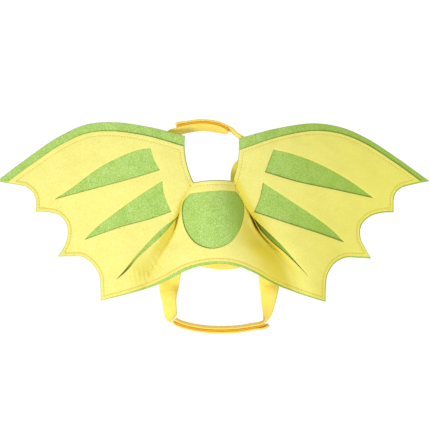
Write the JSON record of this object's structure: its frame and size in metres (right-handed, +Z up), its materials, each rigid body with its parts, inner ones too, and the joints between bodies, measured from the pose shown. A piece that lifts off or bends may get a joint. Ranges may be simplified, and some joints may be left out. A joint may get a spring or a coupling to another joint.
{
  "type": "pet costume wings",
  "caption": "Felt dragon wings on an arched back panel, with windows cut through the front felt, and a neck strap and a belly strap fastened into loops.",
  "frame": {"origin": "middle of the lying part's box, on the table under it", "axes": "+X along the span to the right wing, +Y towards the neck strap, +Z up from the table"},
  "size_m": [0.433, 0.211, 0.0355],
  "materials": {
    "green_felt": "pressed craft felt, matt, heathered",
    "yellow_felt": "pressed craft felt, matt",
    "strap_tape": "brushed loop tape, soft matt",
    "hook_pad": "woven hook tape, matt"
  },
  "bodies": {
    "root": {"wing_backing": "green_felt", "wing_front": "yellow_felt", "neck_strap_left": "strap_tape", "neck_strap_right": "strap_tape", "neck_fastener": "hook_pad", "belly_strap_back": "strap_tape", "belly_strap_left": "strap_tape", "belly_strap_right": "strap_tape", "belly_fastener": "hook_pad"}
  },
  "joints": []
}
